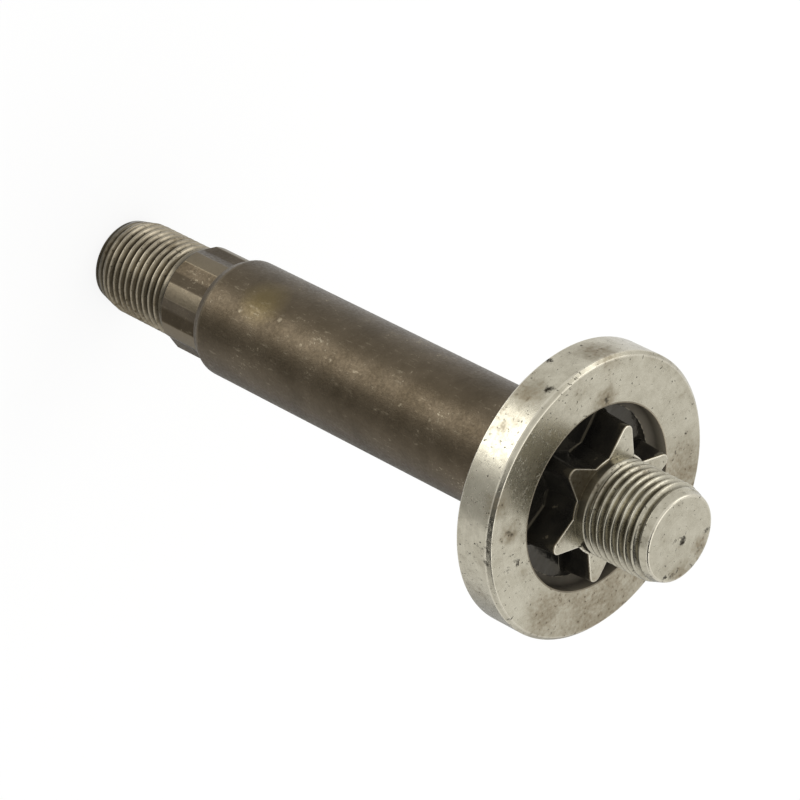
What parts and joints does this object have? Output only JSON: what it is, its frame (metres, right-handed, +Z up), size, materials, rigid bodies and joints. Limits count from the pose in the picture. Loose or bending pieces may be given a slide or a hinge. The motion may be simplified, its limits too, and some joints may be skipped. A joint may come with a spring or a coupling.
{
  "type": "mower deck spindle shaft",
  "caption": "One-piece steel spindle shaft for a mower deck: recessed flange with a star-shaped blade drive, threaded ends, a plain bearing journal and a splined pulley seat.",
  "frame": {"origin": "middle of the base: the shaft stands on the flat face of its pulley end", "axes": "+Z up along the shaft to the blade end; +X through one point of the star and one tooth of the spline"},
  "size_m": [0.0468, 0.0468, 0.1238],
  "materials": {
    "steel": "bright turned flange and blade thread, black forged recess, brown-grey oxide on the journal, spline and pulley thread"
  },
  "bodies": {
    "root": {"spindle_shaft": "steel"}
  },
  "joints": []
}
